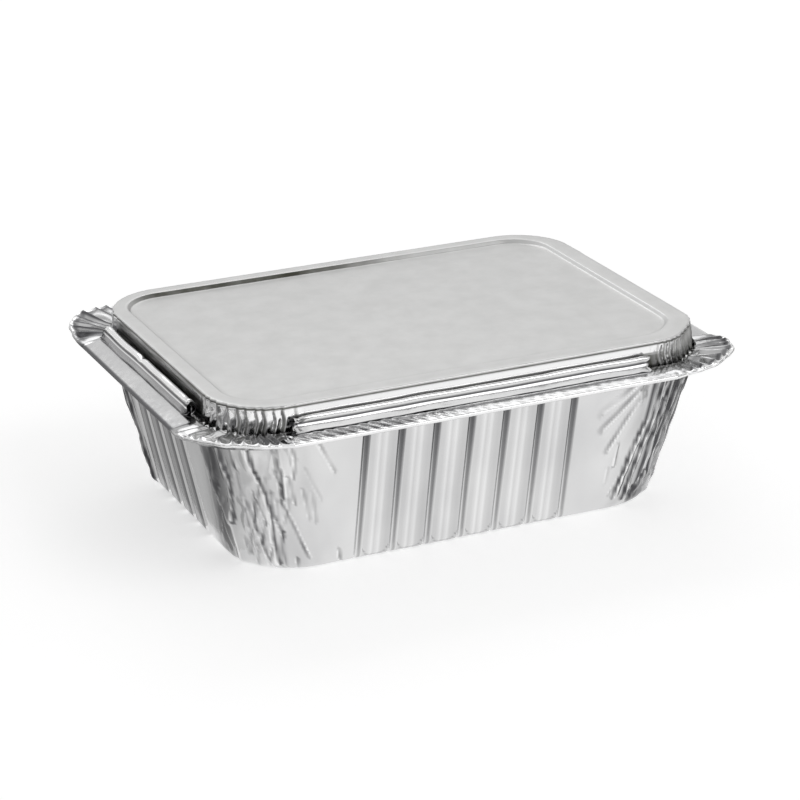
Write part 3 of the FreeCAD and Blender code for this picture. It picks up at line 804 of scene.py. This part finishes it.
def rim_section(side, run):
    """(distance in, height, painted shade) of the rim at a station, from the ledge to the band's
    end.
    """
    reach = half_side(*RIM, side)
    straight = reach - RIM_ARC
    into = max(0.0, abs(run) - straight + FAN_START) / (reach - straight + FAN_START)
    swell = math.sin(min(1.0, into) * math.pi / 2) ** 0.8
    flat = 1 - swell
    corner, near = from_corner(side, run, reach)
    fan_pleats, band_pleats = FAN_PLEATS[corner], BAND_PLEATS[side]
    wander = noise_at(near / 7.0, corner * 5.1, 0.3)
    hem = pleat_height(fan_pleats, near + FAN_ALONG) * swell
    ragged = noise_at(near / 3.4, corner * 7.7, 2.2)
    flare = (FAN_FLARE + 1.2 * wander) * swell + 0.15 * hem + 0.4 * swell * ragged
    lift = FAN_LIFT * swell
    low = LEDGE_Z - 0.05
    points = [(5.0, low, 0.0), (3.4, low, 0.0), (1.7 - flare * 0.4, low + lift * 0.35, 0.3)]
    for k in range(FOLD_STEPS):
        turn = math.pi * (1.5 - k / (FOLD_STEPS - 1))
        points.append((FOLD_R + FOLD_R * math.cos(turn) - flare,
                       low + FOLD_R + FOLD_R * math.sin(turn) + lift + 0.12 * hem,
                       LEFT_FOLD_PAINTED_SHADE * flat if side == LEFT else FOLD_PAINTED_HIGHLIGHT))
    start_u, start_z = points[-1][:2]
    end_u, end_z = band_end(side, run, swell)
    strength = band_strength(side, run)
    for k in range(1, BAND_STEPS + 1):
        part = k / BAND_STEPS
        u = start_u + (end_u - start_u) * part
        z = start_z + (end_z - start_z) * part
        fan_along = near + FAN_ALONG + (0.35 * wander + 0.1) * u * (1 if corner % 2 else -1)
        band_along = run + BAND_ALONG + BAND_SLANT * u
        z += pleat_height(fan_pleats, fan_along) * swell * (1.15 - 0.5 * part)
        z += 0.25 * math.sin(part * math.pi) * flat
        z += (pleat_height(band_pleats, band_along) * strength * flat
              * max(0.0, 1 - part * 1.15) ** 0.8)
        z += 0.03 * noise_at(run / 5.0, u / 2.5, side * 3.7)
        z += swell * 0.35 * noise_at(near / 3.4, u / 5.0, corner * 3.7)
        # Painted shade: a dark line near the band's end, dark steep pleat sides, a painted shadow
        # line above the fans' hem, and dark patches in the fans.
        tone = BAND_PAINTED_SHADE[side] * flat
        if side % 2 == 0 and 0.70 < part < 0.78:
            tone += 0.50 * flat
        tone += (pleat_painted_shade(band_pleats, band_along) * max(0.0, 1 - part * 1.5)
                 * flat * strength * 2.4)
        tone += (swell * pleat_painted_shade(fan_pleats, fan_along)
                 * (FAN_PAINTED_CONTRAST[corner] - 0.25 * part))
        tone += 0.5 * swell * tent(k, 1.5, 1.2) + 1.2 * swell * flat
        tone += swell * 0.6 * max(0.0, noise_at(near / 3.1, u / 6.0, corner * 6.1))
        tone += swell * FAN_PAINTED_LIGHT[corner]
        points.append((u, z, min(RIM_DARKEST, tone)))
    return points


print("points in a section of the rim:", len(rim_section(0, 0.0)))

# %% [markdown]
# The sections become rings, one for each of their points, and grow into one strip of foil.

# %% The rim
RIM_FOIL = 0.12


def make_rim():
    stations = rim_stations()
    sections = [rim_section(side, run) for side, run in stations]
    walk = [round_place(*RIM, side, run) for side, run in stations]
    rings = [[place - out * u + Vector((0, 0, z)) for (place, out), (u, z, _) in zip(walk, level)]
             for level in zip(*sections)]
    tones = [[tone for _, _, tone in level] for level in zip(*sections)]
    rim = grow_skin("tray_rim", rings, rim_foil, tones, (False, False), RIM_FOIL)
    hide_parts("tray")


make_rim()

# %% [markdown]
# Each side's band ends in a roll, open at both ends. Its curl isn't round: it is a smooth
# line through points (across, rise), with two flat facets and two creases.

# %% The curl
CURL_POINTS = [(0.56, -1.95), (1.40, -1.50), (1.93, -0.55), (1.95, 0.55), (1.45, 1.65),
               (0.55, 2.12), (-0.15, 1.80), (-0.52, 1.05), (-0.70, 0.32), (-1.10, -0.20),
               (-1.55, -1.15), (-1.80, -1.90), (-1.30, -1.95), (-0.75, -1.66), (0.10, -1.30),
               (0.72, -0.60), (0.75, 0.25), (0.25, 0.85)]
CURL_LAST = len(CURL_POINTS) - 1


def curl_shape(place):
    """The curl at a place along its points, on a Catmull-Rom line through them."""
    k = min(int(place), CURL_LAST - 1)
    t = place - k
    ends = [CURL_POINTS[max(0, min(CURL_LAST, j))] for j in (k - 1, k, k + 1, k + 2)]
    weights = (-t + 2 * t * t - t ** 3, 2 - 5 * t * t + 3 * t ** 3,
               t + 4 * t * t - 3 * t ** 3, -t * t + t ** 3)
    return [sum(w * end[axis] for w, end in zip(weights, ends)) / 2 for axis in (0, 1)]


def curl_painted_shade(place, side):
    """The curl's painted shade, most at its two creases, inside and on its back; elsewhere a
    faint painted highlight.
    """
    crease = min(1.0, 1.4 * tent(place, 7.8, 0.8)) + tent(place, 11.3, 0.5)
    inside = place > 12.2 or (side == LEFT and 8.9 < place < 10.8)
    back = 1.2 < place < 4.4
    return -0.12 + 1.05 * crease + (0.75 if inside else 0.0) + (0.9 if back else 0.0)


print("curl points:", len(CURL_POINTS))

# %% [markdown]
# A point is spun into an open line, and the line is extruded along the side. At each step it
# is laid on the curl and moved a little: a slow wander, faint facets, dents and crushed ends.

# %% The rolled edges
ROLL_COUNT, ROLL_STEP, ROLL_FOIL = 52, 1.1, 0.14
CRUSH_LONG = 4.5
CURL_TURN = 7.0
FREE_FROM = 7.0
ROLL_DARKEST = 0.95


def make_roll(name, side, first, last, seed, dents):
    steps = round((last - first) / ROLL_STEP)
    roll_u, roll_z = ROLL_PLACE[side]
    half = RIM_Y if side % 2 == 0 else RIM_X
    mesh = bmesh.new()
    station = mesh.verts.layers.int.new("station")
    painted_layer = mesh.verts.layers.float.new("painted_light")
    start = bmesh.ops.create_vert(mesh, co=(0, ROLL_R, 0))["vert"][0]
    bmesh.ops.spin(mesh, geom=[start], cent=(0, 0, 0), axis=(1, 0, 0), angle=math.pi,
                   steps=ROLL_COUNT - 1, use_duplicate=False)
    line = sorted(mesh.verts, key=lambda v: math.atan2(v.co.z, v.co.y) % (2 * math.pi))
    for index, vert in enumerate(line):
        vert[station] = index
    edges = list(mesh.edges)
    for step in range(steps + 1):
        if step:
            edges, line = extruded(mesh, edges, station)
        run = first + (last - first) * step / steps
        crush = tent(min(run - first, last - run), 0.0, CRUSH_LONG)
        dent = sum(depth * hump(run, place, wide) for place, depth, wide in dents)
        shift = noise_at(run / 19.0, seed, 0.5) * 0.35
        lift = noise_at(run / 14.0, seed, 7.5) * 0.25
        for index, vert in enumerate(line):
            share = index / (ROLL_COUNT - 1)
            place, turn = share * CURL_LAST, share * CURL_TURN
            across, rise = curl_shape(place)
            facet = 0.05 * noise_at(run / 8.0, turn * 1.3, seed)
            torn = crush * 0.42 * noise_at(run / 2.2, turn * 0.9, seed + 3.3)
            grow = 1.0 + facet + torn - dent * max(0.0, rise / ROLL_R)
            loose = min(1.0, index / FREE_FROM)
            slip = crush * 1.3 * noise_at(turn * 1.4, seed, 1.1)
            rough = crush * noise_at(run / 1.6, place, seed)
            # Painted shade on the curl, darker at the crushed ends.
            vert[painted_layer] = min(ROLL_DARKEST, curl_painted_shade(place, side) + 0.3 * crush + 0.8 * rough)
            vert.co = quarter_turned(Vector((run + slip, -half + roll_u + across * grow
                                             + shift * loose, roll_z + rise * grow
                                             + lift * loose)), side)
    roll = finish_piece(name, mesh, rim_foil, ROLL_FOIL)
    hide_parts("tray")


make_roll("roll_front", 0, -58.5, 55.0, 2.0, [(-57.0, 0.25, 2.0), (20.0, 0.06, 3.0)])
make_roll("roll_right", 1, -33.5, 39.5, 4.0, [(3.0, 0.10, 2.0)])
make_roll("roll_back", 2, -56.5, 57.0, 6.0, [(-12.0, 0.10, 2.5), (30.0, 0.14, 1.6)])
make_roll("roll_left", 3, -39.0, 33.6, 8.0, [(-7.0, 0.32, 1.1)])

# %% [markdown]
# The lid is a shallow tray turned upside down: a hidden flange under the rim, a short glossy
# side wall that crinkles in the corners, a crisp edge, a flat border and a panel pressed a
# little lower. All its rings share one set of stations, so they are grown as the body was.

# %% The lid's stations and rings
LID_X, LID_Y, LID_R = LID = 78.2, 56.7, 18.7
LID_SHIFT = Vector((1.1, 0.2, 0))
PANEL_SHIFT = Vector((-0.75, 0.75, 0))
LID_TOP = 55.3
LID_ARC, LID_FINE, LID_COARSE = LID_R * math.pi / 4 + 7.0, 0.33, 2.0
LID_ALONG = 40.0
LID_DRAWN_IN = 1.6


def lid_stations():
    """(side, share of the run to the corner's middle): spacing that suits every ring."""
    made = []
    for side in range(4):
        reach = half_side(*LID, side)
        made += [(side, run / reach) for run in side_runs(reach, LID_ARC, LID_FINE, LID_COARSE)]
    return made


LID_STATIONS = lid_stations()
print("stations round the lid:", len(LID_STATIONS))


def lid_corner(side, run, reach, height):
    """(corner, distance from its middle, how pleated the wall is, place along the pleats)."""
    corner, near = from_corner(side, run, reach)
    pleated = clamp((19.0 - abs(near)) / 6.0)
    return corner, near, pleated, near + LID_ALONG + 0.3 * math.sin(height * 0.9 + corner)


def lid_ring(inset, height, crinkle=0.0, recess=False, corner_r=None):
    """One ring of the lid: inset from its top outline, at a height, with side wall crinkles."""
    middle = LID_SHIFT + (PANEL_SHIFT if recess else Vector((0, 0, 0)))
    half_x, half_y = LID_X - inset, LID_Y - inset
    round_by = max(2.0, LID_R - inset) if corner_r is None else corner_r
    ring = []
    for side, share in LID_STATIONS:
        reach = half_side(half_x, half_y, round_by, side)
        run = share * reach
        place, out = round_place(half_x, half_y, round_by, side, run)
        corner, near, pleated, along = lid_corner(side, run, reach, height)
        move = 0.0
        if crinkle:
            fine = noise_at(near / 2.4, height / 5.0, corner * 8.3)
            move = 0.06 * noise_at(run / 9.0, height / 5.0, side * 4.1)
            move += pleat_height(LID_PLEATS[corner], along) * 0.75 * crinkle * pleated
            move += 0.3 * crinkle * pleated * fine
        if corner == FRONT_RIGHT:
            move -= LID_DRAWN_IN * hump(near, 0.0, 8.0)
        ring.append(place + out * move + middle + Vector((0, 0, height)))
    return ring


# %% [markdown]
# The step down to the panel gets painted shade, darkest along the back and faint on the left,
# and a painted highlight elsewhere. The side wall gets painted shade low down, behind the
# rolls, and between its pleats, a painted highlight above, and painted streaks of reflection
# on its left part.

# %% The lid's painted shade and highlights
WALL_DARKEST, WALL_BRIGHTEST = -1.3, 1.15


def slope_painted_light(back, left, other):
    """The painted shade or highlight of the step down to the panel at each station."""
    tones = []
    for side, share in LID_STATIONS:
        run = share * half_side(*LID, side)
        place, out = round_place(*LID, side, run)
        part = max(0.0, out.y) ** 2.5 * clamp((45.0 - place.x) / 50.0, 0.25, 1.0)
        west = max(0.0, -out.x) ** 2 * (1 - part)
        tones.append(back * part + left * west + other * (1 - part) * (1 - west))
    return tones


def wall_painted_light(height):
    """The side wall's painted shade and highlight at each station."""
    tones = []
    # Painted shade in the gap behind the rolls and between the pleats, and painted reflection
    # streaks on the left.
    low = 1.2 if height < 51.3 else (0.8 if height < 51.9 else 0.0)
    foot = max(0.0, (51.5 - height) / 3.0)
    for side, share in LID_STATIONS:
        reach = half_side(*LID, side)
        run = share * reach
        corner, _, pleated, along = lid_corner(side, run, reach, height)
        plain = 1.0 - 1.9 * low
        if side == LEFT:
            streak = noise_at(run / 12.0, height * 1.6, side * 3.3)
            plain = -0.20 + 2.2 * streak - 0.3 * low
        tucked = pleat_painted_shade(LID_PLEATS[corner], along)
        gathered = 1.3 - 3.0 * max(0.0, tucked - 0.4) - foot * 0.4
        tone = plain * (1 - pleated) + gathered * pleated
        tones.append(clamp(tone, WALL_DARKEST, WALL_BRIGHTEST))
    return tones


print("side wall tones at 53 mm: %.2f to %.2f" % (min(wall_painted_light(53.0)), max(wall_painted_light(53.0))))

# %% [markdown]
# The lid's rings run from the flange's hidden edge to the middle of the panel. The edge at the
# top is a small quarter round.

# %% The lid
FLANGE_RINGS = ((-6.0, 46.12, 0.0, 28.0), (-3.0, 46.12, 0.0, 24.0), (-1.3, 46.12, 0.4, None),
                (-0.75, 46.3, 0.7, None))
LID_WALL_STEPS, LID_WALL_FOOT, LID_WALL_SPREAD = 20, 46.5, 0.5
UNDER_EDGE = ((0.10, 1.10, 0.4), (0.05, 0.74, 0.35))
# A painted shade line under the lid's top edge, and a painted highlight on its round.
LID_EDGE_R, LID_EDGE_STEPS, EDGE_PAINTED_SHADE = 0.60, 6, -1.1
BORDER_RINGS = ((1.6, 0.01), (3.5, 0.05))
PANEL_RINGS = ((5.3, 0.07, 0.0), (5.5, 0.10, 0.2), (5.62, 0.20, 0.25), (6.25, 0.92, 0.25),
               (6.4, 1.06, 0.2), (6.6, 1.12, 0.0), (8.0, 1.13, 0.0), (14.0, 1.12, 0.0),
               (24.0, 1.10, 0.0), (36.0, 1.07, 0.0), (50.0, 1.05, 0.0))
LID_FOIL = 0.15


def make_lid():
    rings, painted_light = [], []

    def add(ring, tone):
        rings.append(ring)
        painted_light.append(tone if isinstance(tone, list) else [tone] * len(ring))

    for inset, height, crinkle, corner_r in FLANGE_RINGS:
        add(lid_ring(inset, height, crinkle, corner_r=corner_r), 1.0)
    for k in range(LID_WALL_STEPS):
        part = (k + 1) / LID_WALL_STEPS
        height = LID_WALL_FOOT + (LID_TOP - 1.2 - LID_WALL_FOOT) * part
        crinkle = math.sin(min(1.0, 1.12 - part) * math.pi / 2) ** 0.7
        add(lid_ring(-LID_WALL_SPREAD * (1 - part), height, crinkle), wall_painted_light(height))
    for inset, below, crinkle in UNDER_EDGE:
        add(lid_ring(inset, LID_TOP - below, crinkle), EDGE_PAINTED_SHADE)
    for k in range(1, LID_EDGE_STEPS + 1):
        turn = math.pi / 2 * k / LID_EDGE_STEPS
        left = 1 - k / LID_EDGE_STEPS
        height = LID_TOP - LID_EDGE_R + LID_EDGE_R * math.sin(turn)
        add(lid_ring(LID_EDGE_R * (1 - math.cos(turn)), height, 0.35 * left), 0.7 * left)
    for inset, below in BORDER_RINGS:
        add(lid_ring(inset, LID_TOP - below), 0.0)
    add(lid_ring(4.9, LID_TOP - 0.06, recess=True), slope_painted_light(0.9, 0.0, 0.1))
    for inset, below, gloss in PANEL_RINGS:
        tone = slope_painted_light(-2.4 * gloss - 0.75, -gloss, gloss) if gloss else 0.0
        add(lid_ring(inset, LID_TOP - below, recess=True), tone)
    lid = grow_skin("lid_foil", rings, lid_satin, painted_light, (False, True), LID_FOIL)
    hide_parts("lid")


make_lid()

# %% [markdown]
# Foil shows what stands round it, so the studio is as much a part of its look as the metal.
# Floor and world are brighter to rays that see them, from the camera or in the foil, than to
# the light that bounces, so the shadow stays soft.

# %% The floor and the world
FLOOR_RADIUS, FLOOR_TONE, FLOOR_GLOW = 4.0, 0.80, 0.50
WORLD_LIGHT, WORLD_SEEN = 0.62, 1.0


def seen_rays(tree):
    """1 for rays that see a thing, from the camera, in a mirror or through glass; else 0."""
    path = tree.nodes.new("ShaderNodeLightPath")
    total = path.outputs["Is Camera Ray"]
    for kind in ("Is Glossy Ray", "Is Transmission Ray"):
        both = tree.nodes.new("ShaderNodeMath")
        both.operation = "ADD"
        both.use_clamp = True
        tree.links.new(total, both.inputs[0])
        tree.links.new(path.outputs[kind], both.inputs[1])
        total = both.outputs[0]
    return total


def studio_floor():
    bpy.ops.mesh.primitive_circle_add(vertices=96, radius=FLOOR_RADIUS, fill_type="NGON")
    floor = bpy.context.object
    floor.name = "studio_floor"
    material, shader = new_material("floor_pale")
    shader.inputs["Base Color"].default_value = (FLOOR_TONE, FLOOR_TONE, FLOOR_TONE, 1)
    shader.inputs["Roughness"].default_value = 1.0
    shader.inputs["Specular IOR Level"].default_value = 0.0
    shader.inputs["Emission Color"].default_value = (1, 1, 1, 1)
    glow = ranged(material, seen_rays(material.node_tree), 0.0, FLOOR_GLOW, 0.0, 1.0)
    material.node_tree.links.new(glow, shader.inputs["Emission Strength"])
    floor.data.materials.append(material)


def studio_world():
    world = bpy.data.worlds.new("soft_white")
    bpy.context.scene.world = world
    world.use_nodes = True
    tree = world.node_tree
    tree.nodes.clear()
    output = tree.nodes.new("ShaderNodeOutputWorld")
    ground = tree.nodes.new("ShaderNodeBackground")
    level = tree.nodes.new("ShaderNodeMapRange")
    tree.links.new(seen_rays(tree), level.inputs["Value"])
    level.inputs["To Min"].default_value = WORLD_LIGHT
    level.inputs["To Max"].default_value = WORLD_SEEN
    tree.links.new(level.outputs["Result"], ground.inputs["Strength"])
    tree.links.new(ground.outputs["Background"], output.inputs["Surface"])


studio_floor()
studio_world()
print("studio: a floor %.0f m across and a world" % (2 * FLOOR_RADIUS))

# %% [markdown]
# Two broad soft lamps light the container: one behind it, which throws the shadow forwards,
# and one at the front right.

# %% The lamps


def soft_lamp(name, place, size, watts, target=(0, 0, 0.03)):
    data = bpy.data.lights.new(name, "AREA")
    data.shape = "RECTANGLE"
    data.size, data.size_y = size
    data.energy = watts
    lamp = bpy.data.objects.new(name, data)
    bpy.context.collection.objects.link(lamp)
    lamp.location = place
    aim = Vector(target) - Vector(place)
    lamp.rotation_euler = aim.to_track_quat("-Z", "Y").to_euler()


soft_lamp("softbox_back", (0.25, 1.3, 1.25), (1.6, 0.7), 4.4)
soft_lamp("softbox_front", (0.7, -1.0, 1.3), (0.9, 0.9), 3.6)
print("2 soft lamps")

# %% [markdown]
# Cards of many tones give the metal its streaks, as they do in product photography. Only
# reflections see them.

# %% The reflection cards
FLAT = (0.0006, 0.0006)
# name, range in x, in y and in z, darkest, brightest, features per metre
CARDS = (
    ("card_left_back", (-0.80, -0.072), (-0.035, 0.6), FLAT, 0.40, 0.50, 4.0),
    ("card_left_near", (-0.15, -0.072), (-0.20, -0.035), FLAT, 0.55, 0.85, 25.0),
    ("card_left_far", (-0.60, -0.15), (-0.60, -0.035), FLAT, 0.05, 0.95, 16.0),
    ("card_front", (-0.072, 0.094), (-0.13, -0.045), FLAT, 0.80, 0.86, 20.0),
    ("card_front_far", (-0.10, 0.50), (-0.50, -0.13), FLAT, 0.95, 1.05, 10.0),
    ("card_front_right", (0.094, 0.122), (-0.13, -0.045), FLAT, 0.35, 0.95, 45.0),
    ("card_right", (0.122, 0.158), (-0.13, -0.030), FLAT, 0.06, 0.60, 24.0),
    ("card_right_far", (0.158, 0.70), (-0.13, -0.030), FLAT, 0.30, 1.0, 30.0),
    ("card_right_back", (0.075, 0.70), (-0.030, 0.60), FLAT, 0.05, 0.70, 16.0),
    ("card_back", (-0.072, 0.075), (0.055, 0.60), FLAT, 0.30, 0.95, 14.0),
    ("card_left_wall", (-0.9, -0.9), (-0.6, 0.9), (0.0, 0.24), 0.02, 0.12, 4.0),
    ("card_right_wall", (0.95, 0.95), (-0.35, 0.35), (0.05, 0.26), 0.02, 0.12, 4.0),
    ("card_above", (0.05, 0.80), (-0.35, 0.55), (1.15, 1.15), 0.06, 1.0, 7.0),
    ("card_behind_camera", (-1.6, 1.9), (-1.5, -1.2), (0.85, 1.7), 0.02, 0.30, 2.5),
)


def reflection_card(name, xs, ys, zs, low, high, scale):
    """A card that only reflections see, in a cloudy tone between low and high."""
    (x0, x1), (y0, y1), (z0, z1) = xs, ys, zs
    second, last = (y1, y0) if x0 == x1 else (y0, y1)
    mesh = bmesh.new()
    verts = [mesh.verts.new(place) for place in ((x0, y0, z0), (x1, second, z0),
                                                 (x1, y1, z1), (x0, last, z1))]
    bmesh.ops.contextual_create(mesh, geom=verts)
    card, data = as_object(name, mesh)
    material, shader = new_material(name + "_tone")
    shader.inputs["Base Color"].default_value = (0, 0, 0, 1)
    shader.inputs["Specular IOR Level"].default_value = 0.0
    cloud = stretched_noise(material, EVEN, scale, 2.0)
    tone = ranged(material, cloud.outputs["Fac"], low, high, 0.38, 0.62)
    material.node_tree.links.new(tone, shader.inputs["Emission Strength"])
    shader.inputs["Emission Color"].default_value = (1, 1, 1, 1)
    data.materials.append(material)
    card.visible_camera = False
    card.visible_diffuse = False
    card.visible_shadow = False
    card.visible_transmission = False


for card in CARDS:
    reflection_card(*card)
print("cards that only reflections see:", len(CARDS))

# %% [markdown]
# Last come the display settings.

# %% Display
bpy.context.scene.view_settings.view_transform = "Standard"
